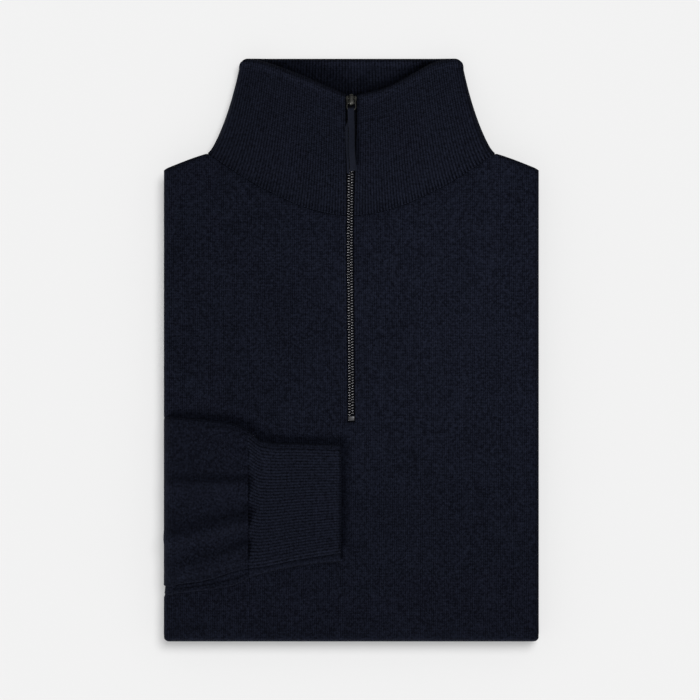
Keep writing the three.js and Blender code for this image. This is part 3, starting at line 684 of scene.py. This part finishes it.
def inner_folds():
    """Rounded slabs of hidden cloth, seen at the open edges between the front and the back."""
    bm = bmesh.new()
    for layer in LAYERS:
        half, foot, head, neck = (layer[k] for k in ("half", "foot", "head", "neck"))
        if neck is None:
            right = [(half - 3, foot), (half, foot + 3), (half, head - 3), (half - 3, head)]
        else:
            right = [(half - 3, foot), (half, foot + 3)]
            right += [(x, seam_y(x) - 5.5) for x in (half, 116, 106)]
            right += [(x, min(131, seam_y(x) + neck)) for x in (92, 79, 65, 53, 40, 26, 12)]
        outline = right + [(-x, y) for x, y in reversed(right)]
        verts = [bm.verts.new(Vector((x, y, layer["low"])) * MM) for x, y in outline]
        face = bm.faces.new(verts)
        raised = bmesh.ops.extrude_face_region(bm, geom=[face])
        top = [g for g in raised["geom"] if isinstance(g, bmesh.types.BMVert)]
        bmesh.ops.translate(bm, verts=top, vec=(0, 0, (layer["high"] - layer["low"]) * MM))
    bmesh.ops.recalc_face_normals(bm, faces=bm.faces)
    edges = [e for e in bm.edges if abs(e.verts[0].co.z - e.verts[1].co.z) < 1e-6]
    bmesh.ops.bevel(bm, geom=edges, offset=1.1 * MM, segments=4, profile=0.5, affect="EDGES",
                    material=-1)
    uv_layer = bm.loops.layers.uv.new("knit")
    for face in bm.faces:
        face.smooth = True
        for loop in face.loops:
            co = loop.vert.co
            loop[uv_layer].uv = (co.x / MM, (co.y + co.z) / MM)
    return finish_mesh("inner_folds", bm, jersey, "sweater", ["folded_layers"])


# Collar


def collar_half(t):
    """Half width of the flattened collar, a curve that flares at the seam."""
    drawn_in = COLLAR_BASE_HALF - COLLAR_FLARE
    return (
        (1 - t) ** 2 * COLLAR_BASE_HALF + 2 * t * (1 - t) * drawn_in + t * t * COLLAR_TOP_HALF
    )


def collar_spot(c):
    """Side, front or back, and share of the way from the zip or the middle back to the fold."""
    if c > COLLAR_RIBS / 2:
        _, back, share = collar_spot(COLLAR_RIBS - c)
        return -1, back, share
    if c <= FRONT_RIBS:
        return 1, False, c / FRONT_RIBS
    return 1, True, 1 - (c - FRONT_RIBS) / (BACK_RIBS / 2)


def collar_slit(t):
    return SLIT_HALF + 1.3 * smoothstep(t, 0, 1)


def collar_x(back, share, half, t):
    """Distance from the middle and angle round the side fold."""
    start = 0.0 if back else collar_slit(t)
    flat = half - start - COLLAR_ROUND
    gone = share * (flat + COLLAR_ROUND * math.pi / 2)
    if gone <= flat:
        return start + gone, 0.0
    angle = (gone - flat) / COLLAR_ROUND
    return half - COLLAR_ROUND + COLLAR_ROUND * math.sin(angle), angle


def collar_place(c, t, skin=COLLAR_CLOTH / 2):
    side, back, share = collar_spot(c)
    x, angle = collar_x(back, share, collar_half(t), t)
    seam_x, _ = collar_x(back, share, COLLAR_BASE_HALF, 0)
    edge_x, _ = collar_x(back, share, COLLAR_TOP_HALF, 1)
    seam_of = back_seam_y if back else seam_y
    start = seam_of(min(seam_x, SEAM[-1]["x"])) + SEAM_GAP / 3 - 1.1 * math.sin(angle)
    end = read(COLLAR_BACK_EDGE if back else COLLAR_FRONT_EDGE, "x",
               "right" if side > 0 else "left", edge_x)
    slope = (seam_of(min(seam_x + 1, SEAM[-1]["x"])) - seam_of(max(seam_x - 1, 0))) / 2
    lift = start + 0.35 * (end - start) / math.sqrt(1 + slope * slope)
    y = (1 - t) ** 2 * start + 2 * t * (1 - t) * lift + t * t * end
    up = clamp((y - start) / (end - start))
    front_z, back_z = (read(COLLAR, "up", key, up) for key in ("front", "back"))
    turn = -1 if back else 1
    level = (front_z + back_z) / 2 + turn * (front_z - back_z) / 2 * math.cos(angle)
    out = Vector((side * math.sin(angle), 0, turn * math.cos(angle)))
    bow = 0.0 if back else zip_bow(x, y)
    return Vector((side * x + bow, y, level)) - out * skin


def collar_ribs(c, t):
    side, back, share = collar_spot(c)
    from_seam, from_edge = t * COLLAR_WALL, (1 - t) * COLLAR_WALL
    drawn_in = 0.34 + 0.4 * math.exp(-from_seam / 18) + 2.6 * math.exp(-from_seam / 4.5)
    rise = RIB_HEIGHT * drawn_in * abs(math.sin(math.pi * c))
    flat_back = smoothstep(1 - share, 0.02, 0.08) if back else 0
    rise += 1.25 * math.exp(-(((from_edge - 2.2) / 1.6) ** 2)) * smoothstep(1 - share, 0.01, 0.06)
    return rise * (1 - flat_back), rise if back else 0


def collar():
    beside_zip = [0, 0.04, 0.12, 0.3]
    across = beside_zip + stops(0.6, (COLLAR_RIBS - 0.6, 0.2))
    across += [COLLAR_RIBS - c for c in reversed(beside_zip)]
    radius = COLLAR_CLOTH / 2
    along = with_round_ends(stops(0, (0.92, 0.033), (1, 0.009)), radius / COLLAR_WALL)

    def edge(c, t):
        from_zip = min(c, COLLAR_RIBS - c) * RIB_PITCH
        return min(from_zip, t * COLLAR_WALL * SEAM_SQUARE, (1 - t) * COLLAR_WALL)

    bm = cloth_wall(
        across, along, collar_place, lambda c, t: radius, edge,
        lambda c, t: (c * RIB_PITCH, t * COLLAR_WALL), ribs=collar_ribs,
    )
    piece = finish_mesh("collar_rib", bm, rib_knit, "sweater", ["collar"])
    return piece


# Sleeve and cuff


def tube_size(x):
    return {k: read(SLEEVE, "x", k, x) for k in ("upper", "lip", "lower")}


def tube_outline(count, height, skin):
    """Stops round a flattened tube's middle surface, each a function of its section's size.

    The upper layer comes first, then the stepped lower edge, the underside and the upper fold.
    Each stop has its y, lift, half thickness, share of the upper layer's width and whether it is
    in the layer that shows below.
    """
    half = skin / 2
    top = height - half
    ledge = 0.55
    outline = [
        (lambda z, k=k: lerp(z["upper"] - 2.2, z["lip"] + 2.2, k / count), top, half, k / count, 0)
        for k in range(count + 1)
    ]
    steps = [
        ("lip", 1.5, top + 0.12, half), ("lip", 0.95, top - 0.15, half * 0.85),
        ("lip", 0.75, top - 0.8, half * 0.7), ("lip", 1.3, 1.15, ledge + 0.05),
        ("lip", 0.6, 0.92, ledge), ("lip", -0.8, 1.1, ledge), ("lower", 2.3, 1.35, ledge),
        ("lower", 1.6, 1.62, ledge), ("lower", 1.0, 1.5, ledge), ("lower", 0.6, 1.05, ledge),
        ("lower", 0.9, 0.64, ledge), ("lower", 1.7, 0.55, ledge), ("lip", 0.2, 0.2, ledge * 0.5),
        ("lip", 3.0, half * 0.85, half * 0.8),
    ]
    outline += [
        (lambda z, e=e, off=off: z[e] + off, lift, thick, None, int(3 <= k < len(steps) - 1))
        for k, (e, off, lift, thick) in enumerate(steps)
    ]
    outline += [
        (lambda z, k=k: lerp(z["lip"] + 7, z["upper"] - 2.2, k / 12), half, half, None, 0)
        for k in range(13)
    ]
    rise = (top - half) / 2
    outline += [
        (lambda z, a=a: z["upper"] - 1.75 + (0.95 + half * 0.1) * math.sin(a),
         half + rise - rise * math.cos(a), half, None, 0)
        for a in (math.pi / 5, 2 * math.pi / 5, 3 * math.pi / 5, 4 * math.pi / 5)
    ]
    return outline


def gathered(x, y):
    """How far the sleeve's upper layer rises where it is drawn into the cuff."""
    away = max(0.0, CUFF_SEAM - x)
    total = 0.2 + 0.9 * math.exp(-away / 70) * (1 - 0.75 * math.exp(-((away / 2.4) ** 2)))
    for ridge in RIDGES:
        crest = lerp(ridge["seam"], ridge["far"], (away / 50) ** 0.9)
        wide = ridge["above" if y > crest else "below"] * (1 + away / 400)
        fade = math.exp(-((away / ridge["reach"]) ** 1.4))
        total += ridge["high"] * fade * math.exp(-(((y - crest) / wide) ** 2))
    return total


SLEEVE_TURN_X = -HALF + SLEEVE_INSET + SIDE_ROUND
SLEEVE_TURN_Z = THICK - SLEEVE_DEPTH / 2


def right_sleeve():
    outline = tube_outline(104, SLEEVE_HEIGHT, CLOTH)
    across = list(range(len(outline) + 1))
    top_run = SLEEVE_SEAM - SLEEVE_TURN_X
    turn_run = math.pi * SLEEVE_TURN
    end = top_run + turn_run + SLEEVE_TUCK
    along = with_round_ends(
        stops(0, (6, 0.7), (top_run, 1.5), (top_run + turn_run, 1.2), (end, 1.5)), CLOTH / 2)
    wide, high = SIDE_ROUND + SLEEVE_LIFT, SLEEVE_DEPTH / 2 + SLEEVE_LIFT

    def place(c, s):
        y_of, lift, _, share, below = outline[int(c) % len(outline)]
        x = max(SLEEVE_TURN_X, SLEEVE_SEAM - s)
        y = y_of(tube_size(x if s <= top_run else -HALF))
        if share is not None:
            ends = smoothstep(share, 0, 0.03) * (1 - smoothstep(share, 0.95, 1))
            lift += gathered(x, y) * ends * (1 - smoothstep(s, top_run, top_run + 9))
        if s <= top_run:
            return Vector((x, y, THICK + SLEEVE_LIFT + ease(x, y) + lift))
        angle = min(math.pi, (s - top_run) / SLEEVE_TURN)
        inside = max(0.0, s - top_run - turn_run)
        return Vector((
            SLEEVE_TURN_X - (wide + lift + 1.3 * below) * math.sin(angle) + inside, y,
            SLEEVE_TURN_Z + (high + lift) * math.cos(angle),
        ))

    girth = 2 * SLEEVE_FLAT
    bm = cloth_wall(
        across, along, place, lambda c, s: outline[int(c) % len(outline)][2],
        lambda c, s: min(s * SEAM_SQUARE, end - s), lambda c, s: (c / len(outline) * girth, s),
        closed=True,
    )
    piece = finish_mesh("sleeve_right", bm, jersey, "sweater", ["right_sleeve"])
    return piece


def right_cuff():
    per_rib = 5
    outline = tube_outline(CUFF_RIBS * per_rib, CUFF_HEIGHT, CUFF_CLOTH)
    across = list(range(len(outline) + 1))
    length = CUFF_END - CUFF_SEAM
    along = with_round_ends(stops(0, (length - 7, 2.3), (length, 0.55)), CUFF_CLOTH / 2)

    def place(c, s):
        y_of, lift, _, share, _ = outline[int(c) % len(outline)]
        x = CUFF_SEAM + s
        y = y_of(tube_size(x))
        lift += THICK + SLEEVE_LIFT + ease(x, y)
        if share is not None:
            ends = smoothstep(share, 0, 0.04) * (1 - smoothstep(share, 0.97, 1))
            lift += ends * math.sin(math.pi * s / length) ** 0.5
            lift += (0.3 + 0.7 * ends) * 1.35 * math.exp(-(((length - s - 2.4) / 1.5) ** 2))
        return Vector((x, y, lift))

    def ribs(c, s):
        index = int(c) % len(outline)
        drawn_in = 0.75 + 1.4 * math.exp(-s / 6) + 0.25 * math.sin(index / 31)
        if index > CUFF_RIBS * per_rib:
            return 0, 0
        return 0.85 * RIB_HEIGHT * drawn_in * abs(math.sin(math.pi * index / per_rib)), 0

    bm = cloth_wall(
        across, along, place, lambda c, s: outline[int(c) % len(outline)][2],
        lambda c, s: min(s * SEAM_SQUARE, length - s), lambda c, s: (c / per_rib * RIB_PITCH, s),
        ribs=ribs, closed=True, turned=True,
    )
    piece = finish_mesh("cuff_right", bm, rib_knit, "sweater", ["right_cuff"])
    return piece


# Zip


def cloth_level(y):
    """Level of the cloth's face along the zip."""
    start, end = SEAM[0]["y"], NOTCH_Y
    if y < start:
        return THICK
    return read(COLLAR, "up", "front", (y - start) / (end - start))


def slope_at(y):
    return math.atan2(cloth_level(y + 2) - cloth_level(y - 2), 4)


def tape_top(y):
    return cloth_level(y) - lerp(CLOTH + 0.35, COLLAR_CLOTH + 0.4, smoothstep(y, 86, 95))


def zip_tapes():
    low, high = box_mm("zip_tape")
    across = with_round_ends(stops(-TAPE_HALF, (TAPE_HALF, 1.6)), 0.35)
    along = with_round_ends(stops(low[1], (high[1], 2.4)), 0.35)
    bm = cloth_wall(
        across, along, lambda c, s: Vector((c + zip_bow(c, s), s, tape_top(s) - 0.4)),
        lambda c, s: 0.35,
        lambda c, s: min(TAPE_HALF - abs(c), s - low[1], high[1] - s), lambda c, s: (c, s),
    )
    piece = finish_mesh("zip_tapes", bm, tape_weave, "sweater", ["zip_tape"])
    return piece


TOOTH_PITCH = 1.97  # along one side of the zip
TEETH_PROUD = 0.42  # how far the teeth stand over the cloth's face
# Left and right teeth as they lie: how far off the middle, length, width, height, and turn.
TEETH = [
    dict(off=-1.25, long=2.3, wide=1.12, high=1.7, turn=-14),
    dict(off=0.95, long=2.0, wide=1.2, high=1.75, turn=-8),
]


def zip_teeth():
    """Two rows of teeth, each tooth past the middle and between two of the other row."""
    low, high = box_mm("zip_chain")
    bm = bmesh.new()
    count = int((high[1] - low[1] - 1) / TOOTH_PITCH * 2)
    for k in range(count):
        tooth = TEETH[k % 2]
        y = low[1] + 0.7 + k * TOOTH_PITCH / 2
        z = cloth_level(y) + TEETH_PROUD - tooth["high"] / 2
        middle = Vector((tooth["off"] + zip_bow(0, y), y, z)) * MM
        turn = Matrix.Rotation(slope_at(y), 4, "X")
        turn = turn @ Matrix.Rotation(math.radians(tooth["turn"]), 4, "Z")
        size = [tooth[side] * MM for side in ("long", "wide", "high")]
        place = Matrix.Translation(middle) @ turn @ Matrix.Diagonal((*size, 1))
        bmesh.ops.create_cube(bm, size=1, matrix=place)
    bmesh.ops.bevel(bm, geom=bm.edges[:], offset=0.34 * MM, segments=1, profile=0.5,
                    affect="EDGES", material=-1)
    for face in bm.faces:
        face.smooth = True
    return finish_mesh("zip_teeth", bm, teeth_metal, "sweater", ["zip_chain"])


def box_piece(bm, low, high, soft):
    """A block between two corners in millimetres, its edges rounded."""
    size = [(b - a) * MM for a, b in zip(low, high)]
    middle = Vector([(a + b) / 2 * MM for a, b in zip(low, high)])
    place = Matrix.Translation(middle) @ Matrix.Diagonal((*size, 1))
    made = bmesh.ops.create_cube(bm, size=1, matrix=place)
    edges = list({e for v in made["verts"] for e in v.link_edges})
    bmesh.ops.bevel(bm, geom=edges, offset=soft * MM, segments=3, profile=0.5, affect="EDGES",
                    material=-1)


def zip_stop():
    low, high = box_mm("zip_stop")
    bm = bmesh.new()
    box_piece(bm, low, high, 0.45)
    for face in bm.faces:
        face.smooth = True
    return finish_mesh("zip_bottom_stop", bm, teeth_metal, "sweater", ["zip_stop"])


hinge = next(j for j in frame["record"]["behaviour"]["joints"] if j["name"] == "pull_swing")
HINGE = Vector(hinge["pos_m"]) / MM
SLOPE = slope_at(176)
HINGE_RISE = 2.5
# Level at the slider, with the hinge's bar HINGE_RISE above the origin, then laid on the slope.
ON_COLLAR = (
    Matrix.Translation(HINGE * MM) @ Matrix.Rotation(SLOPE, 4, "X")
    @ Matrix.Translation((0, 0, -HINGE_RISE * MM))
)


def outline_plate(bm, outline, low, high, soft, axes=(0, 1, 2)):
    """A plate on the collar of the given outline, its edges rounded; `axes` says how it stands."""
    def point(a, b, h):
        values = [0.0, 0.0, 0.0]
        for axis, value in zip(axes, (a, b, h)):
            values[axis] = value * MM
        return ON_COLLAR @ Vector(values)

    face = bm.faces.new([bm.verts.new(point(a, b, low)) for a, b in outline])
    raised = bmesh.ops.extrude_face_region(bm, geom=[face])
    top = [g for g in raised["geom"] if isinstance(g, bmesh.types.BMVert)]
    bmesh.ops.translate(bm, verts=top, vec=point(0, 0, high - low) - point(0, 0, 0))
    verts = list(face.verts) + top
    edges = list({e for v in verts for e in v.link_edges})
    faces = list({f for v in verts for f in v.link_faces})
    bmesh.ops.recalc_face_normals(bm, faces=faces)
    bmesh.ops.bevel(bm, geom=edges, offset=soft * MM, segments=3, profile=0.5, affect="EDGES",
                    material=-1)


def zip_slider():
    """Top plate with a raised lobe each side, the stem between the rows of teeth, and the bridge
    that holds the ring and runs the slider's whole length."""
    bm = bmesh.new()
    shield = [
        (0.9, -5.0), (1.3, -4.7), (1.5, -3.8), (2.8, -3.3), (3.3, -2.4), (3.4, 1.1), (2.9, 2.0),
        (1.6, 2.3), (0.9, 2.1),
    ]
    outline_plate(bm, shield + [(-x, y) for x, y in reversed(shield)], 0.7, 1.3, 0.2)
    for side in (-1, 1):
        lobe = [
            (2.0, -2.0), (2.4, -3.0), (3.3, -2.7), (3.8, -1.2), (4.0, 0.9), (3.6, 2.0),
            (2.8, 2.3), (2.0, 1.7),
        ]
        outline_plate(bm, [(side * x, y) for x, y in lobe], 0.6, 2.0, 0.5)
    stem = [(1.5, -4.4), (1.8, -1), (1.5, 2.6)]
    outline_plate(bm, stem + [(-x, y) for x, y in reversed(stem)], -1.5, 1.0, 0.2)
    bridge = [
        (-5.3, 1.0), (-4.5, 1.0), (-4.2, 2.5), (-3.5, 3.3), (0.8, 3.4), (1.7, 3.1), (2.0, 1.0),
        (3.2, 1.0), (3.4, 2.8), (2.8, 4.1), (1.6, 4.8), (-2.6, 4.7), (-4.4, 3.9), (-5.2, 2.6),
    ]
    outline_plate(bm, bridge, -1.25, 1.35, 0.5, axes=(1, 2, 0))
    for face in bm.faces:
        face.smooth = True
    return finish_mesh("slider", bm, slider_metal, "sweater", ["zip_slider"])


RING_FOOT = -7.9  # lower bar of the ring, from its hinge
TAB_WIDTH = 4.4
TAB_CLEAR = 0.54  # from the middle of the ring's wire to the tab


def pull_ring():
    """Wire ring that hangs from the slider's bridge."""
    curve = bpy.data.curves.new("ring", "CURVE")
    curve.dimensions = "3D"
    curve.bevel_depth = 0.5 * MM
    curve.bevel_resolution = 3
    curve.resolution_u = 8
    spline = curve.splines.new("BEZIER")
    corners = [
        (0, 0), (2.4, -0.4), (2.95, -3.6), (2.5, RING_FOOT + 0.3), (0, RING_FOOT),
        (-2.5, RING_FOOT + 0.3), (-2.95, -3.6), (-2.4, -0.4),
    ]
    spline.bezier_points.add(len(corners) - 1)
    for point, (x, y) in zip(spline.bezier_points, corners):
        point.co = Vector((x, y, HINGE_RISE)) * MM
        point.handle_left_type = point.handle_right_type = "AUTO"
    spline.use_cyclic_u = True
    holder = bpy.data.objects.new("ring_wire", curve)
    bpy.context.scene.collection.objects.link(holder)
    bm = bmesh.new()
    bm.from_mesh(holder.to_mesh())
    bpy.data.objects.remove(holder)
    bmesh.ops.remove_doubles(bm, verts=bm.verts, dist=1e-6)
    bmesh.ops.transform(bm, matrix=ON_COLLAR, verts=bm.verts)
    bmesh.ops.recalc_face_normals(bm, faces=bm.faces)
    for face in bm.faces:
        face.smooth = True
    return finish_mesh("ring", bm, slider_metal, "pull", ["pull_ring"])


def pull_tab():
    """A strip of cloth looped through the ring, its under layer a little to one side."""
    bar = ON_COLLAR @ (Vector((0, RING_FOOT, HINGE_RISE)) * MM) / MM
    low, _ = box_mm("pull_tab")
    end = low[1]
    half = 0.42
    loop = TAB_CLEAR + half
    upper_run = bar.y - end - 1.0
    turn_run = math.pi * loop
    total = 2 * upper_run + turn_run

    def level(y):
        return cloth_level(y) + 0.75 + half

    def place(c, s):
        ragged = 0.5 * math.sin(c * 1.1 + 0.6)
        if s < upper_run:
            y = end + 1.0 + s + ragged * (1 - s / upper_run)
            over = smoothstep(y, bar.y - 12, bar.y)
            z = lerp(level(y) + 4 * half + 0.45 * math.sin(y / 5.3), bar.z + loop, over)
            x = c * lerp(1, 1.06, over) + lerp(1.15, -0.25, smoothstep(y, end - 6, bar.y + 2))
            x += 0.2 * math.sin(y / 5 + 1) * (1 - over)
            z -= 0.16 * (c / 2.3) ** 2 * (1 + 2 * over)
            z += 1.1 * math.exp(-s / 2) * clamp(0.3 + c / 3.4)
            return Vector((x, y, z))
        if s < upper_run + turn_run:
            angle = (s - upper_run) / loop
            return Vector((
                c * 1.06 - 0.25, bar.y + loop * math.sin(angle), bar.z + loop * math.cos(angle)))
        down = s - upper_run - turn_run
        y = bar.y - down
        over = smoothstep(y, bar.y - 14, bar.y)
        z = lerp(level(y), bar.z - loop, over)
        aside = smoothstep(down, 7, 13)
        x = c * lerp(1, 0.45, aside) - 0.25 - 3.1 * aside + 1.1 * smoothstep(down, 12, 44)
        return Vector((x, y - (0.6 * ragged + 1.6) * (down / upper_run), z))

    across = with_round_ends(stops(-TAB_WIDTH / 2, (TAB_WIDTH / 2, 0.5)), half)
    along = with_round_ends(
        stops(0, (upper_run, 1.0), (upper_run + turn_run, 0.25), (total, 1.0)), half)
    bm = cloth_wall(
        across, along, place, lambda c, s: half,
        lambda c, s: min(TAB_WIDTH / 2 - abs(c), s, total - s), lambda c, s: (c, s),
    )
    return finish_mesh("cloth_tab", bm, tab_weave, "pull", ["pull_tab"])


inner_folds()
front_panel()
hem_band()
back_yoke()
collar()
right_sleeve()
right_cuff()
zip_tapes()
zip_teeth()
zip_stop()
zip_slider()
pull_ring()
pull_tab()


# Floor, light and camera


def lit_group(name, pieces):
    """A group of pieces for a light to reach."""
    group = bpy.data.collections.new(name)
    for piece in pieces:
        group.objects.link(piece)
    return group


def floor():
    bm = bmesh.new()
    bmesh.ops.create_grid(bm, x_segments=1, y_segments=1, size=6)
    mesh = bpy.data.meshes.new("floor")
    bm.to_mesh(mesh)
    bm.free()
    material, _, shader = new_material("Pale floor")
    shader.inputs["Base Color"].default_value = (0.8, 0.8, 0.8, 1)
    shader.inputs["Roughness"].default_value = 0.9
    mesh.materials.append(material)
    ground = bpy.data.objects.new("floor", mesh)
    ground.location.z = -0.0002
    bpy.context.scene.collection.objects.link(ground)
    return ground


def soft_sun(name, towards, strength, spread, reached):
    sun = bpy.data.lights.new(name, "SUN")
    sun.energy = strength
    sun.angle = math.radians(spread)
    light = bpy.data.objects.new(name, sun)
    light.rotation_euler = Vector(towards).to_track_quat("-Z", "Y").to_euler()
    bpy.context.scene.collection.objects.link(light)
    light.light_linking.receiver_collection = lit_group(name + " reach", reached)
    return light


def lights(ground):
    """A pale dome; a key from the lower left, a soft fill and a near lamp, on the sweater alone;
    two high lights on the floor alone."""
    world = bpy.data.worlds.new("Studio")
    world.use_nodes = True
    sky = world.node_tree.nodes["Background"]
    sky.inputs["Color"].default_value = (1, 1, 1, 1)
    sky.inputs["Strength"].default_value = 0.24
    bpy.context.scene.world = world
    pieces = [p for p in bpy.data.objects if p.type == "MESH" and p is not ground]
    soft_sun("Key", (0.5, 0.78, -0.5), 3.45, 20, pieces)
    soft_sun("Fill", (-0.3, -0.1, -1), 0.5, 60, pieces)
    soft_sun("Floor light", (-0.22, -0.36, -1), 1.75, 30, [ground])
    soft_sun("Floor top light", (0, 0, -1), 1.13, 4, [ground])
    lamp = bpy.data.lights.new("Near lamp", "POINT")
    lamp.energy = 0.9
    lamp.shadow_soft_size = 0.08
    near = bpy.data.objects.new("Near lamp", lamp)
    near.location = (0.09, 0.045, 0.22)
    bpy.context.scene.collection.objects.link(near)
    near.light_linking.receiver_collection = lit_group("Near lamp reach", pieces)


PICTURE_MM = 501.2  # how much the picture's side shows at the level of the front
LENS, SENSOR = 150.0, 36.0
PICTURE_MIDDLE = (-0.95, -0.4)


def camera():
    data = bpy.data.cameras.new("Camera")
    data.lens, data.sensor_width = LENS, SENSOR
    data.clip_start, data.clip_end = 0.05, 20
    view = bpy.data.objects.new("Camera", data)
    above = THICK + PICTURE_MM * LENS / SENSOR
    view.location = Vector((*PICTURE_MIDDLE, above)) * MM
    bpy.context.scene.collection.objects.link(view)
    bpy.context.scene.camera = view


bpy.context.scene.view_settings.view_transform = "Standard"
lights(floor())
camera()
